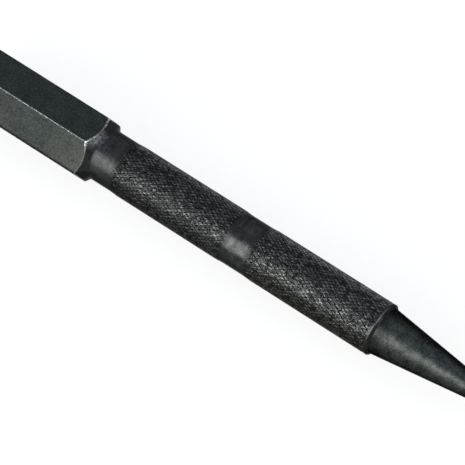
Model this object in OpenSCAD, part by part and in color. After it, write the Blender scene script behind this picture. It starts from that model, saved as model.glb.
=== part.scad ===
// Nail setter turned from one hexagonal steel bar, lying on a flat of its head.
// The tool's axis runs along +X, from the struck face to the tip, and +Z is up.
// The origin is under the middle of the tool, on the surface that it lies on.

/* [Head] */
// Width of the head across two opposite flats
head_across_flats = 10; // [9.5:0.5:14]
// Length of the head between its two turned chamfers
head_length = 23.9; // [14:0.1:40]
// Radius of the flat face that the hammer strikes
struck_face_radius = 4.3; // [3:0.1:4.7]
// Length of the turned chamfer round the struck face
struck_chamfer_length = 1.6; // [0.8:0.1:3]
// Radius that rounds the rim of the struck face
struck_rim_radius = 0.5; // [0.2:0.1:0.8]
// Length of the turned chamfer between the head and the neck
head_chamfer_length = 1.85; // [1.4:0.05:3]
// Radius of the fillet where that chamfer runs into the neck
neck_fillet_radius = 0.5; // [0.2:0.1:0.8]

/* [Round body] */
// Radius of the plain turned body: the neck, the band and the blank of the knurl
body_radius = 4.2; // [3.9:0.1:4.5]
// Length of the plain neck between the head and the upper grip
neck_length = 3.2; // [2:0.1:8]
// Length of the knurled grip beside the head
upper_grip_length = 22.1; // [16:0.1:30]
// Length of the plain band between the two grips
band_length = 3.2; // [2:0.1:8]
// Length of the knurled grip beside the taper
lower_grip_length = 22.7; // [16:0.1:30]

/* [Knurl] */
// Grooves round a grip in each hand
knurl_starts = 36; // [24:1:40]
// Angle between a groove and the tool's axis, in degrees
knurl_angle = 30; // [25:1:38]
// Height of the knurl's crests above the plain body
knurl_rise = 0.09; // [0.04:0.01:0.15]
// Depth of the knurl's grooves below the plain body
knurl_depth = 0.13; // [0.05:0.01:0.2]
// Rows over which the knurl fades in at each end of a grip
knurl_fade_rows = 2; // [1:1:4]

/* [Point] */
// Length of the plain lip that ends the lower grip
lip_length = 0.25; // [0.1:0.05:1]
// Length and depth of the lip's chamfer
lip_chamfer = 0.4; // [0.2:0.05:0.6]
// Width of the flat step between the lip's chamfer and the taper
step_width = 0.05; // [0.03:0.01:0.15]
// Length of the taper
taper_length = 20.9; // [12:0.1:34]
// Radius of the straight nose at the tip
nose_radius = 1.2; // [0.7:0.1:2]
// Length of the straight nose
nose_length = 1.5; // [1:0.1:4]
// Width of the chamfer round the tip's face
nose_chamfer = 0.15; // [0.05:0.05:0.25]
// Width of the flat rim round the cup in the tip's face
cup_rim_width = 0.2; // [0.1:0.05:0.3]
// Depth of the cup in the tip's face
cup_depth = 0.3; // [0.1:0.05:0.4]

/* [Hidden] */

// Steps in a full turn, and in each small arc of an outline
turn_steps = 96;
arc_steps = 6;

// Radius to the hexagon's flats, and to its corners
flat_radius = head_across_flats / 2;
corner_radius = flat_radius / cos(30);

// The knurl's crests, and the spacing of its rows along the axis
crest_radius = body_radius + knurl_rise;
ring_points = 2 * knurl_starts;
groove_pitch = 2 * PI * crest_radius / knurl_starts;
row_pitch = groove_pitch / tan(knurl_angle) / 2;

// The taper starts at the foot of the lip's chamfer and step
taper_radius = crest_radius - lip_chamfer - step_width;

// Stations along the axis, from the struck face on
lip_end_length = lip_length + lip_chamfer;
total_length = struck_chamfer_length + head_length + head_chamfer_length
    + neck_length + upper_grip_length + band_length + lower_grip_length
    + lip_end_length + taper_length + nose_length;
struck_face_x = -total_length / 2;
head_x = struck_face_x + struck_chamfer_length;
head_chamfer_x = head_x + head_length;
neck_x = head_chamfer_x + head_chamfer_length;
upper_grip_x = neck_x + neck_length;
band_x = upper_grip_x + upper_grip_length;
lower_grip_x = band_x + band_length;
lip_x = lower_grip_x + lower_grip_length;
taper_x = lip_x + lip_end_length;
nose_x = taper_x + taper_length;

// Points along an arc, from one angle to another
function arc(centre, radius, start_angle, end_angle) = [
    for (i = [0:arc_steps])
        let (a = start_angle + (end_angle - start_angle) * i / arc_steps)
            centre + radius * [cos(a), sin(a)]
];

// Lays a shape drawn along +Z on the tool's axis, from a station on
module on_axis(station) {
    translate([station, 0, flat_radius])
        rotate([0, 90, 0])
            children();
}

// A turned solid, from points given as [radius, distance from the station]
module turned(station, outline) {
    on_axis(station)
        rotate_extrude($fn = turn_steps)
            polygon(outline);
}

// A length of the hexagonal bar, with flats above and below
module hex_bar(station, length) {
    on_axis(station)
        rotate([0, 0, 30])
            cylinder(h = length, r = corner_radius, $fn = 6);
}

// A length of the plain round body
module round_bar(station, length) {
    on_axis(station)
        cylinder(h = length, r = body_radius, $fn = turn_steps);
}

// A knurled length: rings of points that stand on a crest and in a groove by turns.
// The sides between four points fold along the groove, so each crest is a diamond.
module knurled_bar(station, length) {
    rows = max(2 * knurl_fade_rows, round(length / row_pitch));
    function strength(row) = min(1, row / knurl_fade_rows, (rows - row) / knurl_fade_rows);
    function height(row, k) = (row + k) % 2 == 0 ? knurl_rise : -knurl_depth;
    function radius(row, k) = body_radius + strength(row) * height(row, k);
    function index(row, k) = row * ring_points + k % ring_points;
    points = [
        for (row = [0:rows], k = [0:ring_points - 1])
            let (a = 360 * k / ring_points)
                [radius(row, k) * cos(a), radius(row, k) * sin(a), length * row / rows]
    ];
    sides = [
        for (row = [0:rows - 1], k = [0:ring_points - 1], upper = [false, true])
            let (
                a = index(row, k),
                b = index(row, k + 1),
                c = index(row + 1, k + 1),
                d = index(row + 1, k)
            )
                (row + k) % 2 == 0
                    ? (upper ? [b, d, c] : [a, d, b])
                    : (upper ? [a, d, c] : [a, c, b])
    ];
    near_cap = [for (k = [0:ring_points - 1]) index(0, k)];
    far_cap = [for (k = [ring_points - 1:-1:0]) index(rows, k)];
    on_axis(station)
        polyhedron(points = points, faces = concat([near_cap], sides, [far_cap]));
}

// Struck end: a flat face, and round it a turned chamfer that trims the corners
module striking_end() {
    turn_angle = atan(struck_chamfer_length / (corner_radius - struck_face_radius));
    run = struck_rim_radius * tan(turn_angle / 2);
    rim_centre = [struck_face_radius - run, struck_rim_radius];
    outline = concat(
        [[0, 0]],
        arc(rim_centre, struck_rim_radius, -90, turn_angle - 90),
        [[corner_radius, struck_chamfer_length], [0, struck_chamfer_length]]
    );
    color([0.27, 0.28, 0.28])
        intersection() {
            hex_bar(struck_face_x, struck_chamfer_length);
            turned(struck_face_x, outline);
        }
}

// Head: plain hexagonal bar
module hex_head() {
    color([0.25, 0.27, 0.26])
        hex_bar(head_x, head_length);
}

// Head shoulder: a turned chamfer from the hexagon down to the neck, and its fillet.
// The chamfer starts at the hexagon's corners and is tangent to the fillet.
module head_shoulder() {
    fillet_centre = [body_radius + neck_fillet_radius, head_chamfer_length];
    across = fillet_centre[0] - corner_radius;
    reach = norm([across, head_chamfer_length]);
    slope = atan2(head_chamfer_length, across) - acos(neck_fillet_radius / reach);
    outline = concat(
        [[0, 0], [corner_radius, 0]],
        arc(fillet_centre, neck_fillet_radius, 180 + slope, 180),
        [[0, head_chamfer_length]]
    );
    color([0.2, 0.21, 0.22])
        intersection() {
            hex_bar(head_chamfer_x, head_chamfer_length);
            turned(head_chamfer_x, outline);
        }
}

// Neck: plain round body
module neck() {
    color([0.22, 0.24, 0.27])
        round_bar(neck_x, neck_length);
}

// Upper grip: knurled body beside the head
module upper_grip() {
    color([0.16, 0.17, 0.18])
        knurled_bar(upper_grip_x, upper_grip_length);
}

// Centre band: plain round body between the grips
module centre_band() {
    color([0.22, 0.24, 0.27])
        round_bar(band_x, band_length);
}

// Lower grip: knurled body beside the taper
module lower_grip() {
    color([0.16, 0.17, 0.18])
        knurled_bar(lower_grip_x, lower_grip_length);
}

// Grip shoulder: a plain lip as high as the knurl's crests, its chamfer and a step
module grip_shoulder() {
    foot_radius = crest_radius - lip_chamfer;
    outline = [
        [0, 0],
        [crest_radius, 0],
        [crest_radius, lip_length],
        [foot_radius, lip_end_length],
        [0, lip_end_length]
    ];
    color([0.2, 0.21, 0.22])
        turned(lip_x, outline);
}

// Tapered shank: a long cone down to the nose
module tapered_shank() {
    color([0.2, 0.22, 0.24])
        on_axis(taper_x)
            cylinder(h = taper_length, r1 = taper_radius, r2 = nose_radius, $fn = turn_steps);
}

// Cupped tip: the straight nose, with a hollow in its face that holds a nail's head
module cupped_tip() {
    rim_radius = nose_radius - nose_chamfer;
    cup_radius = rim_radius - cup_rim_width;
    cup_sphere_radius = (cup_radius * cup_radius + cup_depth * cup_depth) / (2 * cup_depth);
    cup_angle = asin(cup_radius / cup_sphere_radius);
    cup_centre = [0, nose_length - cup_depth + cup_sphere_radius];
    outline = concat(
        [
            [0, 0],
            [nose_radius, 0],
            [nose_radius, nose_length - nose_chamfer],
            [rim_radius, nose_length]
        ],
        arc(cup_centre, cup_sphere_radius, cup_angle - 90, -90)
    );
    color([0.3, 0.31, 0.32])
        turned(nose_x, outline);
}

striking_end();
hex_head();
head_shoulder();
neck();
upper_grip();
centre_band();
lower_grip();
grip_shoulder();
tapered_shank();
cupped_tip();
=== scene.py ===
import math

import bpy
import numpy as np
from mathutils import Matrix, Vector


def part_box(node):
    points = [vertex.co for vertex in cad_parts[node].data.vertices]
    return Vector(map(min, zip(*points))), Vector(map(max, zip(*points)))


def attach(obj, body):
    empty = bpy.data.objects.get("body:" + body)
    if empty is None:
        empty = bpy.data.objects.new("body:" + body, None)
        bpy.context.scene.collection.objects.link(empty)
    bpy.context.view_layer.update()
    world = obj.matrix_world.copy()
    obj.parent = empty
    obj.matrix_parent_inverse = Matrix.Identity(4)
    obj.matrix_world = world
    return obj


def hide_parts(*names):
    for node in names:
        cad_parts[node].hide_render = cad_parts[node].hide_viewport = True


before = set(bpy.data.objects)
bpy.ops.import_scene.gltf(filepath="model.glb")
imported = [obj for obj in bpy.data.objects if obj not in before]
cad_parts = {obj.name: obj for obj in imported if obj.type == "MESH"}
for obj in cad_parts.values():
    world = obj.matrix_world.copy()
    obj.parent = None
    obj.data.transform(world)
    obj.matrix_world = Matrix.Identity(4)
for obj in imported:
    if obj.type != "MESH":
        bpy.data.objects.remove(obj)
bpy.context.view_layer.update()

print("stage: frame loaded,", len(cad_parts), "nodes")

# All lengths below are in millimetres, and this turns them into the frame's metres
mm = 0.001


def span(node):
    low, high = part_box(node)
    return low / mm, high / mm


def widest(node):  # largest radius of a node about the tool's axis
    low, high = span(node)
    return max(high.y - low.y, high.z - low.z) / 2


# The tool's axis, and the sizes that every piece shares
headLow, headHigh = span("hex_head")
axisHeight = (headLow.z + headHigh.z) / 2
flatRadius = (headHigh.z - headLow.z) / 2
hexCosine = math.cos(math.radians(30))  # a hexagon's flats lie this share of the way to its corners
cornerRadius = flatRadius / hexCosine
sixth = math.radians(60)  # of a turn
bodyRadius = widest("neck")
crestRadius = widest("grip_shoulder")
taperRadius = widest("tapered_shank")
noseRadius = widest("cupped_tip")


def steps(start, end, size):  # even stations, at most a size apart
    count = max(1, math.ceil((end - start) / size - 1e-6))  # 1e-6 keeps rounding from adding one
    return np.linspace(start, end, count + 1)


def joined(*parts):  # rows of stations, with the ones that repeat left out
    return np.unique(np.round(np.concatenate(parts), 6))


def waver(seed, at, spacing):  # smooth seeded noise from -1 to 1 along a line
    rng = np.random.default_rng(seed)
    count = 4096  # knots, of which a quarter lie before the origin
    knots = rng.uniform(-1, 1, count)
    place = np.asarray(at) / spacing + count / 4
    first = np.floor(place).astype(int)
    share = place - first
    share = share * share * (3 - 2 * share)
    return knots[first] * (1 - share) + knots[first + 1] * share


def softMin(a, b, width):  # the lower of two heights, blended where they are close
    near = np.maximum(width - np.abs(a - b), 0) / width
    return np.minimum(a, b) - near * near * width / 4


# A closed skin round the axis, from rows of points, that stands for a node of the frame
def buildSkin(name, node, xs, radii, angles, flatCaps=(True, True), folds=None, smooth=True):
    rows, columns = radii.shape
    xs = np.broadcast_to(xs, radii.shape)
    y = radii * np.cos(angles)
    z = axisHeight + radii * np.sin(angles)
    points = np.stack([xs, y, z], axis=-1).reshape(-1, 3)
    caps = np.array([[xs[0].mean(), 0, axisHeight], [xs[-1].mean(), 0, axisHeight]])
    points = np.concatenate([points, caps]) * mm
    index = np.arange(rows * columns).reshape(rows, columns)
    following = np.roll(index, -1, axis=1)
    a, b = index[:-1], following[:-1]
    c, d = following[1:], index[1:]
    if folds is None:
        sides = np.stack([a, b, c, d], axis=-1).reshape(-1, 4).tolist()
    else:  # triangles whose shared side follows the fold
        one = np.where(folds[..., None], np.stack([a, b, c], -1), np.stack([a, b, d], -1))
        two = np.where(folds[..., None], np.stack([a, c, d], -1), np.stack([b, c, d], -1))
        sides = np.concatenate([one.reshape(-1, 3), two.reshape(-1, 3)]).tolist()
    nearCap = [(rows * columns, following[0, k], index[0, k]) for k in range(columns)]
    farCap = [(rows * columns + 1, index[-1, k], following[-1, k]) for k in range(columns)]
    mesh = bpy.data.meshes.new(name)
    mesh.from_pydata(points.tolist(), [], sides + nearCap + farCap)
    smoothness = [smooth] * len(sides) + [not flatCaps[0]] * columns + [not flatCaps[1]] * columns
    mesh.polygons.foreach_set("use_smooth", smoothness)
    ends = np.zeros(2 * len(mesh.edges), dtype=int)
    mesh.edges.foreach_get("vertices", ends)
    ends = ends.reshape(-1, 2)
    nearRim = (ends < columns).all(axis=1) & flatCaps[0]
    farRim = ((ends >= (rows - 1) * columns) & (ends < rows * columns)).all(axis=1) & flatCaps[1]
    mesh.edges.foreach_set("use_edge_sharp", nearRim | farRim)
    mesh.update()
    piece = bpy.data.objects.new(name, mesh)
    bpy.context.scene.collection.objects.link(piece)
    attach(piece, "root")
    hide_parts(node)
    print("piece:", name, len(mesh.polygons), "faces")
    return piece


def paint(piece, name, values):  # values at a skin's points, for its material
    attribute = piece.data.attributes.new(name, "FLOAT", "POINT")
    attribute.data.foreach_set("value", np.append(values.ravel(), [0, 0]))  # 0 in the caps' middles


# Head: one hexagonal bar whose ends are turned to cones

head = {
    "edgeRadius": 0.16,  # rounding of the six long edges
    "edgeFaces": 6,  # faces round each of them
    "flatFaces": 26,  # faces across each flat
    "arcSoftness": 0.1,  # rounding where a cone cuts the flats
    "edgeLoss": 0.035,  # how far wear takes the long edges down
    "edgeLossReach": 0.16,  # how far from the edge that wear reaches
    "nickSpacing": 0.45,  # distance between two nicks
    "nickSeed": 20,
    "fineNicks": 3,  # finer nicks in that distance
    "fineNickSeed": 30,
    "fillet": 1.2,  # where the head's cone runs into the neck
    "rimRadius": 0.5,  # rounding of the struck face's rim
    "rimFaces": 10,  # faces round it
    "struckRadius": 4.3,  # the struck face with its rim
    "row": 0.12,  # length of the faces along the bar
    "endRow": 0.09,  # the same near the bar's ends
    "endParts": 20,  # how many times as long as one of those ends the bar is
    "fineRow": 0.045,  # the same on the cones
}


def hexagonAngles(shape):
    radius = shape["edgeRadius"]
    centre = (flatRadius - radius) / hexCosine
    turn = np.radians(np.linspace(-30, 30, shape["edgeFaces"] + 1))
    edge = np.arctan2(radius * np.sin(turn), centre + radius * np.cos(turn))
    flat = np.linspace(edge[-1], sixth - edge[-1], shape["flatFaces"] + 1)[1:-1]
    return np.concatenate([k * sixth + np.concatenate([edge, flat]) for k in range(6)])


def hexagonRadii(angles, shape):
    radius = shape["edgeRadius"]
    centre = (flatRadius - radius) / hexCosine
    aside = np.abs((angles + sixth / 2) % sixth - sixth / 2)  # angle from the nearest edge
    flat = flatRadius / np.cos(sixth / 2 - aside)
    reach = np.maximum(radius * radius - (centre * np.sin(aside)) ** 2, 0)
    edge = centre * np.cos(aside) + np.sqrt(reach)
    end = math.atan2(radius / 2, centre + radius * math.cos(sixth / 2))
    return np.where(aside < end, edge, flat), aside


def headRadii(xs, angles, shape):
    hexagon, aside = hexagonRadii(angles, shape)
    fromEdge = aside * cornerRadius
    which = np.round(angles / sixth).astype(int) % 6
    spacing = shape["nickSpacing"]
    worn = np.zeros((len(xs), len(angles)))
    for k in range(6):
        bite = np.clip(waver(shape["nickSeed"] + k, xs, spacing), 0, 1) ** 2
        fine = 0.5 + 0.5 * waver(shape["fineNickSeed"] + k, xs, spacing / shape["fineNicks"])
        fall = np.exp(-((fromEdge / shape["edgeLossReach"]) ** 2)) * (which == k)
        worn += np.outer(bite * fine, fall) * shape["edgeLoss"]
    cones = np.minimum(shoulderProfile(xs, shape), struckProfile(xs, shape))
    return softMin(hexagon[None, :] - worn, cones[:, None], shape["arcSoftness"])


def shoulderProfile(xs, shape):  # the cone between head and neck, and the fillet at its foot
    low, high = span("head_shoulder")
    length = high.x - low.x
    radius = shape["fillet"]
    across = bodyRadius + radius - cornerRadius
    slope = math.atan2(length, across) - math.acos(radius / math.hypot(across, length))
    foot = high.x - radius * math.sin(slope)  # where the cone meets the fillet
    footRadius = bodyRadius + radius * (1 - math.cos(slope))
    fall = (cornerRadius - footRadius) / (foot - low.x)
    cone = cornerRadius - (xs - low.x) * fall
    left = np.clip((high.x - xs) / radius, 0, 1)
    fillet = bodyRadius + radius * (1 - np.sqrt(1 - left * left))
    return np.where(xs < foot, cone, fillet)


def struckProfile(xs, shape):  # the struck face's rim, and the cone behind it
    low, high = span("striking_end")
    radius = shape["rimRadius"]
    turn = math.atan2(high.x - low.x, cornerRadius - shape["struckRadius"])
    run = radius * math.tan(turn / 2)
    centre = shape["struckRadius"] - run
    up = np.clip((xs - low.x) / radius, 0, 1)
    rim = centre + radius * np.sqrt(1 - (1 - up) ** 2)
    cone = shape["struckRadius"] + (xs - low.x) / math.tan(turn)
    foot = low.x + radius * (1 - math.cos(turn))
    return np.where(xs < foot, rim, cone)


def buildHead(shape):
    angles = hexagonAngles(shape)

    low, high = span("head_shoulder")
    xs = steps(low.x, high.x, shape["fineRow"])
    shoulder = headRadii(xs, angles, shape)
    buildSkin("headShoulder", "head_shoulder", xs[:, None], shoulder, angles)

    low, high = span("hex_head")
    end = (high.x - low.x) / shape["endParts"]
    xs = joined(
        steps(low.x, low.x + end, shape["endRow"]),
        steps(low.x + end, high.x - end, shape["row"]),
        steps(high.x - end, high.x, shape["endRow"]),
    )
    bar = headRadii(xs, angles, shape)
    buildSkin("hexHead", "hex_head", xs[:, None], bar, angles)

    low, high = span("striking_end")
    turn = np.radians(np.linspace(0, 90, shape["rimFaces"] + 1))
    rim = low.x + shape["rimRadius"] * (1 - np.cos(turn))
    xs = joined(rim, steps(rim[-1], high.x, shape["fineRow"]))
    outside = headRadii(xs, angles, shape)
    dents, faceRadii = struckFace(outside[0].mean(), angles, struckMarks)
    xs = np.concatenate([low.x + dents, np.repeat(xs[1:, None], len(angles), axis=1)])
    radii = np.concatenate([faceRadii, outside[1:]])
    piece = buildSkin("strikingEnd", "striking_end", xs, radii, angles, (False, True))
    depths = np.concatenate([dents, np.zeros_like(outside[1:])])
    paint(piece, "dent", depths / struckMarks["dentDepth"])


struckMarks = {
    "dents": 46,  # marks that hammers left
    "dentRadius": (0.25, 0.9),
    "dentDepth": 0.04,
    "depthShares": (0.4, 1),  # how deep the dents are, as shares of that
    "bowl": 1.5,  # power that rounds a dent's edge
    "spread": 0.85,  # how far out dents lie, as a share of the face's radius
    "calmRim": 0.3,  # width inside the rim over which they fade
    "rings": 60,  # rings of points on the face
    "firstRing": 0.02,  # radius of the smallest
    "seed": 5,
}


def struckFace(rimRadius, angles, marks):  # how deep each point of the face lies, and its radius
    rng = np.random.default_rng(marks["seed"])
    radii = np.linspace(marks["firstRing"], rimRadius, marks["rings"])
    y = np.outer(radii, np.cos(angles))
    z = np.outer(radii, np.sin(angles))
    depth = np.zeros_like(y)
    for _ in range(marks["dents"]):
        size = rng.uniform(*marks["dentRadius"])
        reach = rimRadius * math.sqrt(rng.uniform()) * marks["spread"]
        turn = rng.uniform(0, 2 * math.pi)
        away = np.hypot(y - reach * math.cos(turn), z - reach * math.sin(turn))
        bowl = np.clip(1 - (away / size) ** 2, 0, 1) ** marks["bowl"]
        share = rng.uniform(*marks["depthShares"])
        depth = np.maximum(depth, bowl * marks["dentDepth"] * share)
    depth *= np.clip((rimRadius - radii)[:, None] / marks["calmRim"], 0, 1)
    return depth, np.repeat(radii[:, None], len(angles), axis=1)


buildHead(head)
print("stage: head made")


# Turned body: the neck, the band, the lip, the taper and the nose

turned = {
    "columns": 288,  # faces round the tool
    "row": 0.4,  # length of the faces along it
    "lipRow": 0.08,  # the same on the lip's chamfer
    "noseRow": 0.15,  # on the nose
    "tipRow": 0.05,  # and on the nose's chamfer and the rim round the cup
    "cupRings": 16,  # rows of faces in the cup
    "lipLength": 0.25,
    "lipChamfer": 0.4,
    "lipRounding": 0.06,
    "lipFaces": 5,  # faces round that
    "noseChamfer": 0.15,
    "cupRimWidth": 0.2,
    "cupDepth": 0.3,
}
roundAngles = np.arange(turned["columns"]) * 2 * math.pi / turned["columns"]
cupRadius = noseRadius - turned["noseChamfer"] - turned["cupRimWidth"]


def buildTurned(name, node, outline, caps=(True, True)):
    outline = np.array(outline)
    radii = np.repeat(outline[:, 1:], len(roundAngles), axis=1)
    return buildSkin(name, node, outline[:, :1], radii, roundAngles, caps)


def rounded(before, corner, after, radius, count):  # an arc in place of a corner
    before, corner, after = (Vector(p) for p in (before, corner, after))
    toBefore = (before - corner).normalized()
    toAfter = (after - corner).normalized()
    half = toBefore.angle(toAfter) / 2
    reach = radius / math.tan(half)
    centre = corner + (toBefore + toAfter).normalized() * radius / math.sin(half)
    start = corner + toBefore * reach - centre
    end = corner + toAfter * reach - centre
    sweep = math.pi - 2 * half
    wide = math.sin(sweep)
    points = []
    for k in range(count + 1):
        share = k / count
        mix = start * (math.sin((1 - share) * sweep) / wide) + end * (math.sin(share * sweep) / wide)
        points.append(tuple(centre + mix))
    return points


def straight(start, end, size):  # even points along a line, at most a size apart
    count = max(1, math.ceil(math.dist(start, end) / size))
    start, end = np.array(start), np.array(end)
    return [tuple(start + (end - start) * k / count) for k in range(count + 1)]


def buildBody(shape):
    for name, node in (("roundNeck", "neck"), ("centreBand", "centre_band")):
        low, high = span(node)
        outline = straight((low.x, bodyRadius), (high.x, bodyRadius), shape["row"])
        buildTurned(name, node, outline)

    low, high = span("grip_shoulder")
    start, edge = (low.x, crestRadius), (low.x + shape["lipLength"], crestRadius)
    foot = (high.x, crestRadius - shape["lipChamfer"])
    corner = rounded(start, edge, foot, shape["lipRounding"], shape["lipFaces"])
    outline = [start] + corner + straight(corner[-1], foot, shape["lipRow"])[1:]
    buildTurned("gripShoulder", "grip_shoulder", outline)

    low, high = span("tapered_shank")
    outline = straight((low.x, taperRadius), (high.x, noseRadius), shape["row"])
    buildTurned("taperedShank", "tapered_shank", outline)

    low, high = span("cupped_tip")
    chamfer = shape["noseChamfer"]
    ball = (cupRadius * cupRadius + shape["cupDepth"] ** 2) / (2 * shape["cupDepth"])
    half = math.asin(cupRadius / ball)
    middle = high.x - shape["cupDepth"] + ball
    outline = straight((low.x, noseRadius), (high.x - chamfer, noseRadius), shape["noseRow"])
    outline += straight(outline[-1], (high.x, noseRadius - chamfer), shape["tipRow"])[1:]
    outline += straight(outline[-1], (high.x, cupRadius), shape["tipRow"])[1:]
    for k in range(1, shape["cupRings"]):
        turn = half * (1 - k / shape["cupRings"])
        outline.append((middle - ball * math.cos(turn), ball * math.sin(turn)))
    buildTurned("cuppedTip", "cupped_tip", outline, (True, False))


buildBody(turned)
print("stage: turned body made")


# Knurled grips: two hands of V grooves that leave flat-topped diamonds between them.
# Every second groove of a hand is lighter, and so are the strokes between them.

knurl = {
    "starts": 36,  # grooves round a grip in each hand
    "angle": 30,  # between a groove and the axis
    "fullDepth": 0.085,  # from the crests to the bottom of the deepest groove
    "samples": 12,  # mesh steps from one groove to the next
    "wander": 0.2,  # how far a groove strays sideways, as a share of the pitch
    "wanderPasses": 14,  # how smoothly it strays
    "steepness": 1.4,  # of a groove's sides, where 1 leaves the bottom no width
    "edgeOfGap": 0.12,  # how softly a groove runs out at a gap
    "topStray": 0.002,  # unevenness of the tops
    "topPasses": 2,  # how smooth that is
    "crown": 0.004,  # how far the middle of a diamond stands over its corners
    "lean": 0.003,  # how far the top of a diamond leans
    "lowTops": 0.004,  # how much lower every second row of diamonds is
    "fadeStray": 0.7,  # how far the grooves' ends stray along the axis
    "cutsLead": 2,  # how much faster the grooves deepen there than the tops rise
    "lipRise": 1.5,  # length over which the tops rise to the lip
    "petalsPerPitch": 1.25,  # bare spots on the tops, for each groove round the grip
    "petalWidth": 0.31,  # their half width, as a share of their spacing
    "petalLength": 0.5,
    "petalLean": 0.05,  # how far they turn from the axis towards the hand that they follow
    "petalStrength": (-0.05, 1.0),  # drawn for each spot, and 0 at the least
}
tracks = {  # places and half widths are shares of the pitch, depths of the full depth
    "main": {"first": 0, "halfWidth": 0.14, "depth": 1.0, "passes": 5},
    "fine": {"first": 0.5, "halfWidth": 0.1, "depth": 0.55, "passes": 4},
}
deepHand = {
    "strength": 1.0,  # how deep this hand's grooves are cut
    "second": 0.2,  # how much less every second groove has
    "crossing": 0.85,  # how much a groove loses where it crosses others
    "main": 0.05,  # share of the main track that is missing
    "fine": 0.2,  # and of the fine one
    "dashes": (0.15, 1.4),  # drawn for the depth of each dash of a groove, and 1 at the most
}
faintHand = deepHand | {"fine": 0.4, "dashes": (0.05, 1.3)}
grips = {
    "upperGrip": {
        "node": "upper_grip",
        "seed": 3,
        "fades": (1.3, 1.2),  # lengths over which the knurl fades at its two ends
        "petalsFollow": 0,  # the hand whose grooves the bare spots run along
        "hands": (deepHand, faintHand | {"strength": 0.85, "second": 0.3, "main": 0.1, "fine": 0.5}),
    },
    "lowerGrip": {
        "node": "lower_grip",
        "seed": 8,
        "fades": (1.2, 0.4),
        "petalsFollow": 1,
        "hands": (
            faintHand | {"strength": 0.9, "main": 0.08},
            deepHand | {"crossing": 0.75, "main": 0.04},
        ),
    },
}


def speckle(rng, shape, passes):  # seeded unevenness from 0 to 1 that closes round the grip
    field = rng.random(shape)
    for _ in range(passes):
        along = np.concatenate([field[:1], field, field[-1:]])
        field = (along[:-2] + 2 * along[1:-1] + along[2:]) / 4
        field = (np.roll(field, 1, axis=1) + 2 * field + np.roll(field, -1, axis=1)) / 4
    return (field - field.min()) / (field.max() - field.min())


def atGrooves(place):  # 1 on a groove, 0 half way between two
    return 0.5 + 0.5 * np.cos(2 * math.pi * place)


def cutDepth(rng, place, across, hand, shape):  # how deep one hand's grooves are, from 0 to 1
    starts = shape["starts"]
    deepest = np.zeros_like(place)
    for kind, track in tracks.items():
        along = place - track["first"]
        nearest = np.round(along)
        field = speckle(rng, place.shape, track["passes"])
        present = np.clip((field - np.quantile(field, hand[kind])) / shape["edgeOfGap"], 0, 1)
        side = 1 - np.abs(along - nearest) / track["halfWidth"]
        cut = np.clip(shape["steepness"] * side, 0, 1)
        dashes = np.clip(rng.uniform(*hand["dashes"], (starts, starts)), 0, 1)
        dash = dashes[nearest.astype(int) % starts, np.floor(across).astype(int) % starts]
        cut *= present * dash * track["depth"] * (1 - hand["second"] * (nearest % 2))
        deepest = np.maximum(deepest, cut)
    return deepest * hand["strength"] * (1 - hand["crossing"] * atGrooves(across))


def bareSpots(rng, places, grip, shape):  # how bare each point is, from spots on a lattice of their own
    spots = round(shape["starts"] * shape["petalsPerPitch"])  # spots round the grip
    spotPlaces = [place * spots / shape["starts"] for place in places]
    cell = [np.floor(place).astype(int) for place in spotPlaces]
    aside = [spotPlaces[k] - cell[k] - 0.5 for k in (0, 1)]
    turn, follow = shape["petalLean"], grip["petalsFollow"]
    crosswise = ((1 + turn) * aside[follow] + (1 - turn) * aside[1 - follow]) / shape["petalWidth"]
    lengthwise = ((1 - turn) * aside[follow] - (1 + turn) * aside[1 - follow]) / shape["petalLength"]
    strengths = np.clip(rng.uniform(*shape["petalStrength"], (spots, spots)), 0, 1)
    strength = strengths[cell[0] % spots, cell[1] % spots]
    return np.exp(-(crosswise**2) - lengthwise**2) * strength


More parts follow.
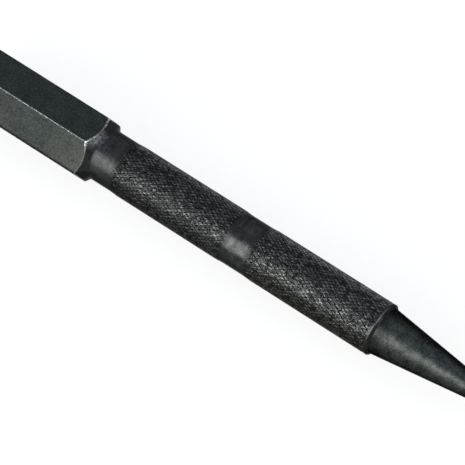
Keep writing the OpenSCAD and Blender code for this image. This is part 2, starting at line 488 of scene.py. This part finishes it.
def buildGrip(name, grip, shape):
    low, high = span(grip["node"])
    atLip = grip["node"] == "lower_grip"  # this grip ends at a lip as high as the crests
    rng = np.random.default_rng(grip["seed"])
    starts, samples = shape["starts"], shape["samples"]
    pitch = 2 * math.pi * crestRadius / starts / math.tan(math.radians(shape["angle"]))
    rows = round((high.x - low.x) / pitch) * samples
    row, column = np.meshgrid(np.arange(rows + 1), np.arange(starts * samples), indexing="ij")
    angles = 2 * math.pi * column[0] / (starts * samples)
    xs = low.x + (high.x - low.x) * np.arange(rows + 1)[:, None] / rows
    nearFade, farFade = grip["fades"]

    places, runs = [], []
    for way in (1, -1):
        stray = speckle(rng, row.shape, shape["wanderPasses"]) - 0.5
        place = (column + way * row) / samples + shape["wander"] * stray
        nearest = np.round(place).astype(int)
        ends = shape["fadeStray"] * rng.random((2, starts))[:, nearest % starts]
        farEnd = ends[1] * min(1, farFade)
        run = np.minimum((xs - low.x - ends[0]) / nearFade, (high.x - xs - farEnd) / farFade)
        runs.append(np.clip(run, 0, 1))
        places.append(place)
    cuts = []
    for k in (0, 1):
        depth = cutDepth(rng, places[k], places[1 - k], grip["hands"][k], shape)
        cuts.append(depth * np.clip(shape["cutsLead"] * runs[k], 0, 1))
    cut = np.maximum(*cuts)

    raised = (runs[0] + runs[1]) / 2
    if atLip:
        raised = np.maximum(raised, np.clip(1 - (high.x - xs) / shape["lipRise"], 0, 1))
    which = [np.floor(place).astype(int) % starts for place in places]
    inside = [place - np.floor(place) - 0.5 for place in places]
    leans = shape["lean"] * rng.uniform(-1, 1, (2, starts, starts))
    lean = leans[0][which[0], which[1]] * inside[0] + leans[1][which[0], which[1]] * inside[1]
    crown = (1 - 4 * inside[0] ** 2) * (1 - 4 * inside[1] ** 2)
    lowered = shape["lowTops"] * (which[0] % 2 + which[1] % 2) / 2 + shape["crown"] * (1 - crown)
    stray = shape["topStray"] * speckle(rng, row.shape, shape["topPasses"])
    uneven = np.maximum(stray - lean + lowered, 0)
    radii = bodyRadius + raised * (crestRadius - bodyRadius - uneven) - shape["fullDepth"] * cut
    radii[0] = bodyRadius
    radii[-1] = crestRadius if atLip else bodyRadius
    folds = cuts[1][:-1] + cuts[1][1:] > cuts[0][:-1] + cuts[0][1:]
    piece = buildSkin(name, grip["node"], xs, radii, angles, folds=folds, smooth=False)
    paint(piece, "groove", cut)
    paint(piece, "petal", bareSpots(rng, places, grip, shape) * raised)


for name, grip in grips.items():
    buildGrip(name, grip, knurl)
print("stage: grips made")


# Shader maths: a socket that Python's operators work on, and the one method that adds a node

class Value:
    def __init__(self, finish, socket):
        self.finish = finish
        self.socket = socket

    def math(self, operation, *others):
        return self.finish.math(operation, self, *others)

    def __add__(self, other):
        return self.math("ADD", other)

    __radd__ = __add__

    def __sub__(self, other):
        return self.math("SUBTRACT", other)

    def __rsub__(self, other):
        return self.finish.math("SUBTRACT", other, self)

    def __mul__(self, other):
        return self.math("MULTIPLY", other)

    __rmul__ = __mul__

    def __truediv__(self, other):
        return self.math("DIVIDE", other)

    def __pow__(self, other):
        return self.math("POWER", other)

    def __abs__(self):
        return self.math("ABSOLUTE")

    def atLeast(self, other):
        return self.math("MAXIMUM", other)

    def atMost(self, other):
        return self.math("MINIMUM", other)

    def fades(self, start, end):  # 0 at start, 1 at end, smooth between
        sockets = {0: self, 1: start, 2: end, 3: 0.0, 4: 1.0}
        return self.finish.node("ShaderNodeMapRange", {"interpolation_type": "SMOOTHSTEP"}, sockets)

    def swing(self, amount):  # a noise from 0 to 1, as a step to either side
        return (self - 0.5) * amount

    def raised(self, least):  # a mask from 0 to 1, lifted to go from least to 1
        return least + (1 - least) * self


class Finish:
    def __init__(self, name):
        self.material = bpy.data.materials.new(name)
        self.material.use_nodes = True
        self.tree = self.material.node_tree
        self.tree.nodes.clear()

    def node(self, kind, settings, sockets, output=0):
        made = self.tree.nodes.new(kind)
        for name, setting in settings.items():
            setattr(made, name, setting)
        for name, value in sockets.items():
            if isinstance(value, Value):
                self.tree.links.new(value.socket, made.inputs[name])
            else:
                made.inputs[name].default_value = value
        return Value(self, made.outputs[output]) if made.outputs else None

    def math(self, operation, *values):
        return self.node("ShaderNodeMath", {"operation": operation}, dict(enumerate(values)))

    def mix(self, share, a, b, way="MIX"):
        settings = {"data_type": "RGBA", "blend_type": way}
        a, b = (c if isinstance(c, Value) else (*c, 1.0) for c in (a, b))
        return self.node("ShaderNodeMix", settings, {0: share, 6: a, 7: b}, 2)

    def tinted(self, share, colour, tint):  # the colour times the tint
        return self.mix(share, colour, tint, "MULTIPLY")


class Steel(Finish):  # a finish of the tool's own, made from its look
    upperPart = (0.1, 0.55)  # how far up the far side's upper part starts, and is full

    def __init__(self, name, look):
        super().__init__(name)
        self.look = look
        place = self.node("ShaderNodeTexCoord", {}, {}, "Object")
        scaled = self.node("ShaderNodeVectorMath", {"operation": "SCALE"}, {0: place, "Scale": 1 / mm})
        sockets = {0: scaled, 1: (0, 0, axisHeight)}
        self.at = self.node("ShaderNodeVectorMath", {"operation": "SUBTRACT"}, sockets)
        kind = "ShaderNodeSeparateXYZ"
        self.x, self.y, self.z = (self.node(kind, {}, {0: self.at}, axis) for axis in "XYZ")
        self.clouds = self.noise("clouds")
        self.grain = self.noise("grain")

    def noise(self, name):
        scale, detail, roughness, *stretch = self.look[name]
        at = self.at
        if stretch:
            at = self.node("ShaderNodeVectorMath", {"operation": "MULTIPLY"}, {0: at, 1: stretch[0]})
        sockets = {"Vector": at, "Scale": scale, "Detail": detail, "Roughness": roughness}
        return self.node("ShaderNodeTexNoise", {"noise_dimensions": "3D"}, sockets)

    def mask(self, name):  # a noise, faded over its range
        return self.noise(name).fades(*self.look[name + "Range"])

    def painted(self, name):  # what paint has put on the skin's points
        return self.node("ShaderNodeAttribute", {"attribute_name": name}, {}, "Fac")

    def radius(self):
        return (self.y * self.y + self.z * self.z) ** 0.5

    def upward(self):  # 1 at the top of the tool, 0 level with its axis
        return self.z / self.radius()

    def facing(self, degrees):  # 1 where the surface faces so far up from the near side
        side = math.radians(degrees)
        return (self.z * math.sin(side) - self.y * math.cos(side)) / self.radius()

    def farSide(self, start, end):  # the upper part of the far side
        return (self.y / self.radius()).fades(start, end) * self.upward().fades(*self.upperPart)

    def flats(self):  # the largest, and the second largest, distance towards the flats
        one = abs(self.z)
        two = abs(self.z * 0.5 + self.y * hexCosine)
        three = abs(self.z * 0.5 - self.y * hexCosine)
        most = one.atLeast(two).atLeast(three)
        least = one.atMost(two).atMost(three)
        return most, one + two + three - most - least

    def rough(self):
        rough = self.look["roughness"] + self.clouds.swing(self.look["roughnessStray"])
        return rough + self.grain.swing(self.look["roughnessGrain"])

    def bump(self, height, depth, under=None):  # under is a bump that this one lies on
        sockets = {"Height": height, "Distance": depth * mm, "Strength": 1.0}
        if under:
            sockets["Normal"] = under
        return self.node("ShaderNodeBump", {}, sockets)

    def metal(self, colour, rough=None, under=None):
        sockets = {
            "Base Color": colour,
            "Metallic": 1.0,
            "Roughness": rough or self.rough(),
            "Specular Tint": (*self.look["grazing"], 1.0),
            "Normal": self.bump(self.grain, self.look["grainDepth"], under),
        }
        shader = self.node("ShaderNodeBsdfPrincipled", {}, sockets)
        self.node("ShaderNodeOutputMaterial", {}, {"Surface": shader})
        return self.material


def give(finish, *names):
    for name in names:
        bpy.data.objects[name].data.materials.append(finish)


# In the looks a noise has its scale, detail and roughness, and how it is squeezed along the
# three axes if it is. A range gives the two values between which a mask goes from 0 to 1.

turnedLook = {
    "dark": (0.0115, 0.0124, 0.0125),
    "light": (0.047, 0.0496, 0.049),
    "clouds": (0.7, 4.0, 0.55),
    "lines": (1.0, 3.0, 0.6, (9, 0.15, 0.15)),  # left by turning
    "grain": (3.2, 4.0, 0.7),
    "toneRange": (0.35, 0.65),
    "grainRange": (0.42, 0.58),
    "lineShare": 0.4,  # of the lines against the clouds
    "grainShare": 0.4,  # of the grain against both
    "lowShadeTint": (0.8, 0.8, 0.8),  # painted shade low down
    "lowShadeRange": (0.0, 0.4),
    "paintedFarSideTint": (1.0, 1.0, 1.0),  # painted tint on the far side, none here
    "paintedFarSideRange": (0.0, 0.4),
    "grazing": (0.45, 0.45, 0.45),
    "roughness": 0.33,
    "roughnessStray": 0.1,
    "roughnessGrain": 0.3,
    "lineDepth": 0.002,
    "grainDepth": 0.004,
}
bandChanges = {"light": (0.053, 0.056, 0.0552), "grainShare": 0.3, "roughness": 0.25}
taperChanges = {
    "light": (0.056, 0.061, 0.0578),
    "grainShare": 0.45,
    "stepShadeTint": (0.55, 0.55, 0.55),  # painted shade beside the step
    "stepShadeReach": 2.5,
    # painted shade: darker low down
    "lowShadeTint": (0.7, 0.7, 0.7),
    "lowShadeRange": (0.25, 0.6),
    # painted shade: darker on the upper part of the far side
    "paintedFarSideTint": (0.5, 0.5, 0.5),
    "grazing": (0.35, 0.35, 0.35),
    "roughness": 0.36,
    "grainDepth": 0.006,
}
lipChanges = {
    "chamfer": (0.017, 0.0182, 0.019),  # painted shade in the lip's chamfer
    "chamferFade": 0.1,
    "rim": (0.12, 0.126, 0.128),  # the lip's worn edge, partly a painted highlight
    "rimRange": (0.04, 0.12),
    "rimUp": (0.5, 0.85),  # it is kept to the top, as a painted highlight
    "rimFar": (0.1, 0.5),  # and not on the far side
    "rimLeast": 0.2,
}


def makeTurned(name, look):
    finish = Steel(name, look)
    lines = finish.noise("lines")
    tone = finish.clouds.fades(*look["toneRange"]) * (1 - look["lineShare"])
    tone = tone + lines.fades(*look["toneRange"]) * look["lineShare"]
    grain = finish.grain.fades(*look["grainRange"])
    tone = tone * (1 - look["grainShare"]) + grain * look["grainShare"]
    colour = finish.mix(tone, look["dark"], look["light"])
    # painted shade: darker low down
    low = 1 - finish.upward().fades(*look["lowShadeRange"])
    colour = finish.tinted(low, colour, look["lowShadeTint"])
    # painted tint on the upper part of the far side: darker on the taper
    colour = finish.tinted(finish.farSide(*look["paintedFarSideRange"]), colour, look["paintedFarSideTint"])
    if "rim" in look:
        edge = span("grip_shoulder")[0].x + turned["lipLength"]
        # painted shade: the lip's chamfer darker
        onChamfer = finish.x.fades(edge, edge + look["chamferFade"])
        colour = finish.mix(onChamfer, colour, look["chamfer"])
        # the worn rim, kept to the top and away from the far side as a painted highlight
        wear = 1 - abs(finish.x - edge).fades(*look["rimRange"])
        wear = wear * (finish.z / crestRadius).fades(*look["rimUp"])
        wear = wear * (1 - finish.farSide(*look["rimFar"])) * (look["rimLeast"] + lines)
        colour = finish.mix(wear, colour, look["rim"])
    if "stepShadeTint" in look:
        # painted shade: darker beside the step
        step = span("tapered_shank")[0].x
        besideStep = 1 - finish.x.fades(step, step + look["stepShadeReach"])
        colour = finish.tinted(besideStep, colour, look["stepShadeTint"])
    return finish.metal(colour, under=finish.bump(lines, look["lineDepth"]))


headLook = {
    "dark": (0.0148, 0.0165, 0.0165),
    "light": (0.0447, 0.0493, 0.0475),
    "clouds": (0.45, 4.0, 0.6),
    "grain": (3.0, 4.0, 0.8),
    "streaks": (1.0, 3.0, 0.6, (0.6, 5, 5)),
    "toneRange": (0.35, 0.65),
    "grainRange": (0.4, 0.6),
    "shares": (0.25, 0.65, 0.1),  # of the clouds, the grain and the streaks
    "handledDark": (0.037, 0.0385, 0.031),  # where hands have polished the flats, towards the neck
    "handledLight": (0.078, 0.081, 0.067),
    "handledRange": (-8, 2),  # from the bar's end
    "handledGrain": 0.6,  # share of the grain in it, against the clouds
    "handledSides": (2.4, 3.6),  # from the axis out to the sides
    "handledLeast": 0.1,  # what there is of it between them
    "patches": (0.35, 3.0, 0.6),
    "patchesRange": (0.4, 0.6),
    "tints": ((1.0, 0.995, 1.005), (0.97, 1.012, 0.985)),  # in the patches and between them
    "under": (0.007, 0.007, 0.0072),  # painted shade on the lower part of the near side
    "underRange": (0.0, 0.5),
    "underStray": 0.3,
    "underSide": (0.0, 2.0),
    "cone": (0.017, 0.018, 0.0176),
    "coneRange": (0.03, 0.1),  # down from the flats
    "coneGrain": 0.6,
    "coneRoughness": 0.36,
    "scuffAndSheen": (0.094, 0.1, 0.105),  # worn band on the cone, kept to one facing, so partly a painted highlight
    "scuffAndSheenRange": (0.7, 1.4),  # how far down it ends
    "sheenSide": 77,  # which way the painted highlight faces, in degrees up from the near side
    "sheenFacing": (0.89, 0.97),
    "scuffs": (2.8, 4.0, 0.8),
    "scuffsRange": (0.42, 0.56),
    "scuffLeast": 0.15,
    "steel": (0.46, 0.46, 0.45),  # bare, along the worn edges and arcs
    "stray": (2.4, 3.0, 0.7),
    "edgeRange": (0.0, 0.11),  # out from a long edge, where its bare line ends
    "edgeStray": 0.5,
    "chips": (3.2, 4.0, 0.8),
    "chipsRange": (0.5, 0.62),
    "edgeShares": (0.3, 0.6),  # all along an edge, and in its chips
    "edgeNear": (2.0, -1.0),  # towards the near side
    "edgeFar": 0.25,  # what there is of it on the far side
    "edgeUp": (0.4, 0.9),  # the edges level with the axis are whole
    "arcRange": (0.048, 0.12),  # out from an arc that ends a flat, the same
    "arcStray": 0.1,
    "dots": (3.4, 3.0, 0.7),  # bare dots along the arcs
    "dotsRange": (0.46, 0.6),
    "dotUp": (3.0, 4.4),
    "dotReach": 0.14,  # how much further a dot reaches
    "arcShares": (0.2, 0.2, 0.15, 0.5),  # all along an arc, in the grain, near corners and in dots
    "nearCorner": (0.4, 3.0),  # away from a long edge
    "corner": (0.95, 0.95, 0.94),  # the bare points where three faces meet, painted near white as a highlight
    "cornerEdge": (0.06, 0.26),  # out from the long edge
    "cornerArc": (0.06, 0.2),  # and from the arc
    "cornerUp": (4, 4.5),
    "cornerFar": (-2.5, 0.0),  # towards the far side
    "cornerLoss": 0.8,  # what they lose there
    "grazing": (0.5, 0.5, 0.5),
    "roughness": 0.5,
    "roughnessStray": 0.1,
    "roughnessGrain": 0.2,
    "grainDepth": 0.006,
}
struckChanges = {  # the struck face, beaten bare in its middle
    "beatenDepth": (0.1, 0.4),  # in from the face
    "beatenReach": (2.9, 4.1),  # out from the axis
    "cloudStray": 2.4,
    "grainStray": 1.6,
    "dentRange": (0.02, 0.3),
    "marks": (3.5, 5.0, 0.75),
    "marksRange": (0.42, 0.58),
    "scratches": (1.0, 3.0, 0.6, (1, 5, 0.7)),
    "scratchesRange": (0.5, 0.6),
    "beatenShares": (0.3, 0.2, 0.2, 0.2),  # all over, in the dents, the marks and the scratches
}


def headOxide(finish, look):
    cloudShare, grainShare, streakShare = look["shares"]
    tone = finish.clouds.fades(*look["toneRange"]) * cloudShare
    tone = tone + finish.grain.fades(*look["grainRange"]) * grainShare
    tone = tone + finish.noise("streaks").fades(*look["toneRange"]) * streakShare
    colour = finish.mix(tone, look["dark"], look["light"])
    start, end = (span("head_shoulder")[0].x + reach for reach in look["handledRange"])
    uneven = finish.grain * look["handledGrain"] + finish.clouds * (1 - look["handledGrain"])
    handled = finish.x.fades(start, end) * uneven
    handled = handled * abs(finish.y).fades(*look["handledSides"]).raised(look["handledLeast"])
    colour = finish.mix(handled, colour, finish.mix(tone, look["handledDark"], look["handledLight"]))
    patches = finish.mask("patches")
    for share, tint in zip((patches, 1 - patches), look["tints"]):
        colour = finish.tinted(share, colour, tint)
    # painted shade: darker on the lower part of the near side
    under = 1 - (finish.z + finish.grain.swing(look["underStray"])).fades(*look["underRange"])
    return finish.mix(under * (1 - finish.y.fades(*look["underSide"])), colour, look["under"])


def coneHeights(finish):  # radius of the two turned cones, carried on over the whole head
    start = span("head_shoulder")[0].x
    near = shoulderProfile(np.array([start, start + 1]), head)
    shoulder = near[0] + (finish.x - start) * (near[1] - near[0])
    end, step = span("striking_end")[1].x, 0.5
    near = struckProfile(np.array([end - step, end]), head)
    return shoulder.atMost(near[1] + (finish.x - end) * (near[1] - near[0]) / step)


def headWear(finish, look, fromEdge, fromArc, onCone):  # bare steel, and bare corners
    stray = finish.noise("stray")
    edge = 1 - (fromEdge + stray.swing(look["edgeStray"])).fades(*look["edgeRange"])
    steady, chipped = look["edgeShares"]
    edge = edge * (steady + chipped * finish.mask("chips")) * (1 - onCone)
    edge = edge * finish.y.fades(*look["edgeNear"]).raised(look["edgeFar"])
    edge = edge * abs(finish.z).fades(*look["edgeUp"])

    nearCorner = 1 - fromEdge.fades(*look["nearCorner"])
    dots = nearCorner * finish.mask("dots") * abs(finish.z).fades(*look["dotUp"])
    out = fromArc + stray.swing(look["arcStray"]) - dots * look["dotReach"]
    steady, grained, cornered, dotted = look["arcShares"]
    arc = 1 - out.fades(*look["arcRange"])
    arc = arc * (steady + grained * finish.grain + nearCorner * cornered + dots * dotted)

    # worn corners, painted near white as a highlight, at the top and mostly on the near side
    corner = (1 - fromEdge.fades(*look["cornerEdge"])) * (1 - fromArc.fades(*look["cornerArc"]))
    corner = corner * finish.z.fades(*look["cornerUp"])
    return edge.atLeast(arc), corner * (1 - finish.y.fades(*look["cornerFar"]) * look["cornerLoss"])


def beatenSteel(finish, look):
    start, end = (span("striking_end")[0].x + depth for depth in look["beatenDepth"])
    reach = finish.radius() + finish.clouds.swing(look["cloudStray"])
    reach = reach + finish.grain.swing(look["grainStray"])
    beaten = (1 - finish.x.fades(start, end)) * (1 - reach.fades(*look["beatenReach"]))
    steady, dented, marked, scratched = look["beatenShares"]
    bare = steady + finish.painted("dent").fades(*look["dentRange"]) * dented
    return beaten * (bare + finish.mask("marks") * marked + finish.mask("scratches") * scratched)


def makeHead(name, look):
    finish = Steel(name, look)
    colour = headOxide(finish, look)
    most, second = finish.flats()
    below = (flatRadius - most).atLeast(0.0)  # how far the cones lie below the flats
    onCone = below.fades(*look["coneRange"])
    colour = finish.mix(onCone * (1 - finish.grain * look["coneGrain"]), colour, look["cone"])
    # worn band on the cone, kept to one facing as a painted highlight
    scuffAndSheen = onCone * (1 - below.fades(*look["scuffAndSheenRange"]))
    scuffAndSheen = scuffAndSheen * finish.facing(look["sheenSide"]).fades(*look["sheenFacing"])
    scuffAndSheen = scuffAndSheen * finish.mask("scuffs").raised(look["scuffLeast"])
    colour = finish.mix(scuffAndSheen, colour, look["scuffAndSheen"])

    fromEdge = (most - second) / hexCosine
    fromArc = (coneHeights(finish) - finish.radius()).atLeast(0.0) + below
    wear, corner = headWear(finish, look, fromEdge, fromArc, onCone)
    if "marks" in look:
        wear = wear.atLeast(beatenSteel(finish, look))
    colour = finish.mix(wear, colour, look["steel"])
    colour = finish.mix(corner, colour, look["corner"])
    return finish.metal(colour, finish.rough() + onCone * (look["coneRoughness"] - look["roughness"]))


knurlLook = {
    "groove": (0.003, 0.0032, 0.0033),
    "flank": (0.007, 0.0074, 0.0075),
    "flankRange": (-0.055, -0.02),  # from the crests
    "crest": (0.0088, 0.0094, 0.0093),
    "rise": 1.8,  # length over which the tops rise at a grip's ends
    "clouds": (1.3, 4.0, 0.65),
    "grain": (5.0, 3.0, 0.65),
    "grainHeight": 0.03,
    "grooveRange": (0.05, 0.3),  # depths of a groove at which its tops' finish ends
    "grooveStray": 0.3,
    "clusters": (0.9, 3.0, 0.7),  # of tops that have more of it
    "clustersRange": (0.38, 0.6),
    "clusterLeast": 0.85,
    "petal": (0.155, 0.164, 0.159),  # bare spots on the tops
    "grooveShine": 0.4,  # what there is of them in the grooves
    "flecks": (3.8, 2.0, 0.6),  # finer spots
    "flecksRange": (0.52, 0.6),
    "fleckShare": 0.2,
    "highlightSide": 45,  # where the key light's highlight falls, in degrees up from the near side
    "highlightRange": (0.85, 0.985),
    "dimmedInHighlight": 0.4,
    "glint": (0.14, 0.14, 0.135),
    "glints": (1.9, 3.0, 0.6),
    "glintsRange": (0.6, 0.7),
    "glintUp": (0.0, 0.5),
    "plain": (0.026, 0.0276, 0.0272),  # where the knurl fades into the plain body
    "plainRange": (0.2, 1.2),
    "plainStray": 1.2,
    "lowShadeTint": (0.8, 0.78, 0.74),  # painted shade low down, a little warm
    "lowShadeRange": (0.2, 0.65),
    "warmLowShadeTint": (0.95, 0.92, 0.84),  # more painted shade, warmer, on the grip beside the taper
    "paintedFarSideTint": (2.7, 2.6, 2.65),  # painted highlight: brighter on the far side
    "paintedFarSideRange": (0.2, 0.55),
    "lowerGripTint": (1.2, 1.2, 1.2),  # brighter on the grip beside the taper
    "grazing": (0.47, 0.47, 0.47),
    "roughness": 0.27,
    "roughnessStray": 0.1,
    "roughnessGrain": 0.15,
    "grainDepth": 0.0015,
}


def makeKnurl(name, look):
    finish = Steel(name, look)
    upperStart, upperEnd = (corner.x for corner in span("upper_grip"))
    lowerStart = span("lower_grip")[0].x
    away = abs(finish.x - upperStart).atMost(abs(finish.x - upperEnd))
    away = away.atMost(abs(finish.x - lowerStart))  # from the nearest plain zone, lip apart
    lacking = (crestRadius - bodyRadius) * (1 - away.fades(0.0, look["rise"]))
    high = finish.radius() + lacking + finish.grain.swing(look["grainHeight"])
    onFlank = high.fades(*(crestRadius + rise for rise in look["flankRange"]))
    colour = finish.mix(onFlank, look["groove"], look["flank"])
    groove = finish.painted("groove") + finish.grain.swing(look["grooveStray"])
    clear = 1 - groove.fades(*look["grooveRange"])
    clusters = finish.mask("clusters").raised(look["clusterLeast"])
    colour = finish.mix(clear * clusters, colour, look["crest"])

    petal = finish.painted("petal") + finish.mask("flecks") * look["fleckShare"]
    petal = petal * clear.raised(look["grooveShine"])
    # painted shade: the bare spots are dimmed where the key light's highlight falls
    dimmedInHighlight = finish.facing(look["highlightSide"]).fades(*look["highlightRange"])
    petal = petal * (1 - dimmedInHighlight * look["dimmedInHighlight"])
    colour = finish.mix(petal, colour, look["petal"])
    glint = finish.mask("glints") * petal * finish.upward().fades(*look["glintUp"])
    colour = finish.mix(glint, colour, look["glint"])

    # painted shade: darker and warmer low down
    low = 1 - finish.upward().fades(*look["lowShadeRange"])
    colour = finish.tinted(low, colour, look["lowShadeTint"])
    lower = finish.x.fades(upperEnd, lowerStart)
    colour = finish.tinted(lower, colour, look["lowerGripTint"])
    # painted shade: warmer and darker low down on the grip beside the taper
    colour = finish.tinted(low * lower, colour, look["warmLowShadeTint"])
    # painted highlight: brighter on the upper part of the far side
    colour = finish.tinted(finish.farSide(*look["paintedFarSideRange"]), colour, look["paintedFarSideTint"])
    plain = 1 - (away + finish.clouds.swing(look["plainStray"])).fades(*look["plainRange"])
    return finish.metal(finish.mix(plain * onFlank, colour, look["plain"]))


tipLook = {
    "dark": (0.05, 0.05, 0.05),
    "light": (0.24, 0.235, 0.225),
    "clouds": (1.6, 4.0, 0.6),
    "cloudRange": (0.35, 0.65),
    "grain": (12.0, 3.0, 0.6),
    "lines": (1.0, 3.0, 0.6, (24, 0.3, 0.3)),  # left by turning
    "linesRange": (0.4, 0.6),
    "shares": (0.4, 0.4, 0.2),  # of the clouds, the lines and the grain
    "oxide": (0.016, 0.0175, 0.0172),  # what is left of it beside the taper and in the cup
    "oxideRange": (0.1, 0.7),  # from the taper, where it ends
    "oxideStray": 1.2,
    "oxideGrain": 0.6,
    "cupRange": (1, 1.1),  # from the taper, where the cup's oxide starts
    "cupGrain": 0.3,
    "cupShare": 0.75,  # of the cup's radius that is full of oxide
    "cupOxide": 0.8,
    "grazing": (0.9, 0.9, 0.9),
    "roughness": 0.36,
    "roughnessStray": 0.1,
    "roughnessGrain": 0.15,
    "grainDepth": 0.002,
}


def makeBare(name, look):
    finish = Steel(name, look)
    cloudShare, lineShare, grainShare = look["shares"]
    tone = finish.clouds.fades(*look["cloudRange"]) * cloudShare + finish.mask("lines") * lineShare
    colour = finish.mix(tone + finish.grain * grainShare, look["dark"], look["light"])
    nose = span("cupped_tip")[0].x
    away = finish.x - nose + finish.clouds.swing(look["oxideStray"])
    left = 1 - (away + finish.grain.swing(look["oxideGrain"])).fades(*look["oxideRange"])
    out = finish.radius() + finish.grain.swing(look["cupGrain"])
    inCup = finish.x.fades(*(nose + start for start in look["cupRange"]))
    inCup = inCup * (1 - out.fades(cupRadius * look["cupShare"], cupRadius))
    return finish.metal(finish.mix(left.atLeast(inCup * look["cupOxide"]), colour, look["oxide"]))


give(makeTurned("turnedOxide", turnedLook), "roundNeck")
give(makeTurned("lipOxide", turnedLook | lipChanges), "gripShoulder")
give(makeTurned("bandOxide", turnedLook | bandChanges), "centreBand")
give(makeTurned("taperOxide", turnedLook | taperChanges), "taperedShank")
give(makeHead("headOxide", headLook), "hexHead")
give(makeHead("shoulderOxide", headLook), "headShoulder")
give(makeHead("struckSteel", headLook | struckChanges), "strikingEnd")
give(makeKnurl("knurledOxide", knurlLook), "upperGrip", "lowerGrip")
give(makeBare("tipSteel", tipLook), "cuppedTip")
print("stage: finishes made")


# Studio: a pale floor, a soft key light low on the near side, and a pale surround

studio = {
    "floorSize": 8000,
    "floorColour": (0.86, 0.855, 0.845),
    "floorGlow": 0.85,  # how far the floor is lifted to white, so that its shadow stays light
    "mirroredGlow": 0.3,  # the same for the floor that the steel mirrors
    "floorWhite": 1.0,
    "surroundLow": (0.7, 0.7, 0.7),  # at the horizon
    "surroundHigh": (0.78, 0.9, 1.06),  # overhead
}
lamps = {
    "keyLight": {
        "direction": (-0.27, -0.835, 0.48),
        "distance": 2000,
        "width": 1300,
        "height": 2200,
        "roll": -30,
        "radiance": 5.8,
        "colour": (1.0, 1.0, 0.98),
    },
    "sideLight": {
        "direction": (0.9, 0.12, 0.43),
        "distance": 2000,
        "width": 800,
        "height": 700,
        "roll": 0,
        "radiance": 4.0,
        "colour": (1.0, 1.0, 1.0),
    },
}


def makeFloor(look):
    finish = Finish("paleFloor")
    rays = ("Is Camera Ray", "Is Transmission Ray", "Is Glossy Ray")
    seen, through, mirrored = (finish.node("ShaderNodeLightPath", {}, {}, ray) for ray in rays)
    glow = (seen.atLeast(through) * look["floorGlow"]).atLeast(mirrored * look["mirroredGlow"])
    matt = finish.node("ShaderNodeBsdfDiffuse", {}, {"Color": (*look["floorColour"], 1)})
    sockets = {"Color": (1, 1, 1, 1), "Strength": look["floorWhite"]}
    white = finish.node("ShaderNodeEmission", {}, sockets)
    both = finish.node("ShaderNodeMixShader", {}, {0: glow, 1: matt, 2: white})
    finish.node("ShaderNodeOutputMaterial", {}, {"Surface": both})
    return finish.material


def buildFloor(look):
    half = look["floorSize"] / 2 * mm
    mesh = bpy.data.meshes.new("floor")
    corners = [(-half, -half, 0), (half, -half, 0), (half, half, 0), (-half, half, 0)]
    mesh.from_pydata(corners, [], [(0, 1, 2, 3)])
    floor = bpy.data.objects.new("floor", mesh)
    bpy.context.scene.collection.objects.link(floor)
    mesh.materials.append(makeFloor(look))


class Surround(Finish):  # the world's nodes, made in the same way
    def __init__(self, world):
        world.use_nodes = True
        self.tree = world.node_tree
        self.tree.nodes.clear()


def buildSurround(look):
    world = bpy.data.worlds.new("surround")
    bpy.context.scene.world = world
    sky = Surround(world)
    place = sky.node("ShaderNodeTexCoord", {}, {}, "Generated")
    height = sky.node("ShaderNodeSeparateXYZ", {}, {0: place}, "Z").atLeast(0.0)
    colour = sky.mix(height * height, look["surroundLow"], look["surroundHigh"])
    light = sky.node("ShaderNodeBackground", {}, {"Color": colour, "Strength": 1.0})
    sky.node("ShaderNodeOutputWorld", {}, {"Surface": light})


def buildLamp(name, look):
    light = bpy.data.lights.new(name, "AREA")
    light.shape = "RECTANGLE"
    light.size = look["width"] * mm
    light.size_y = look["height"] * mm
    light.energy = look["radiance"] * math.pi * light.size * light.size_y
    light.color = look["colour"]
    lamp = bpy.data.objects.new(name, light)
    bpy.context.scene.collection.objects.link(lamp)
    towards = Vector(look["direction"]).normalized()
    lamp.location = (Vector((0, 0, axisHeight)) + towards * look["distance"]) * mm
    turn = Matrix.Rotation(math.radians(look["roll"]), 3, "Z")
    lamp.rotation_euler = (towards.to_track_quat("Z", "Y").to_matrix() @ turn).to_euler()


buildFloor(studio)
buildSurround(studio)
for name, lamp in lamps.items():
    buildLamp(name, lamp)


# Camera: looks at the middle of the tool, from the photograph's side and height

view = {
    "aim": (0.19, 0.45, axisHeight + 0.05),
    "azimuth": 34.12,
    "elevation": 53.62,
    "roll": 3.70,
    "distance": 551.7,
    "lens": 285.3,
    "sensor": 36,
    "clip": (0.01, 20),  # in metres
}


def buildCamera(shot):
    camera = bpy.data.cameras.new("camera")
    camera.lens = shot["lens"]
    camera.sensor_width = shot["sensor"]
    camera.clip_start, camera.clip_end = shot["clip"]
    holder = bpy.data.objects.new("camera", camera)
    bpy.context.scene.collection.objects.link(holder)
    turn, lift, roll = (math.radians(shot[k]) for k in ("azimuth", "elevation", "roll"))
    back = Vector((math.sin(turn) * math.cos(lift), -math.cos(turn) * math.cos(lift), math.sin(lift)))
    right = (-back).cross(Vector((0, 0, 1))).normalized()
    up = right.cross(-back)
    rolledRight = right * math.cos(roll) + up * math.sin(roll)
    rolledUp = up * math.cos(roll) - right * math.sin(roll)
    facing = Matrix((rolledRight, rolledUp, back)).transposed().to_4x4()
    place = (Vector(shot["aim"]) + back * shot["distance"]) * mm
    holder.matrix_world = Matrix.Translation(place) @ facing
    bpy.context.scene.camera = holder


buildCamera(view)
bpy.context.scene.view_settings.view_transform = "Standard"
print("stage: studio and camera made")
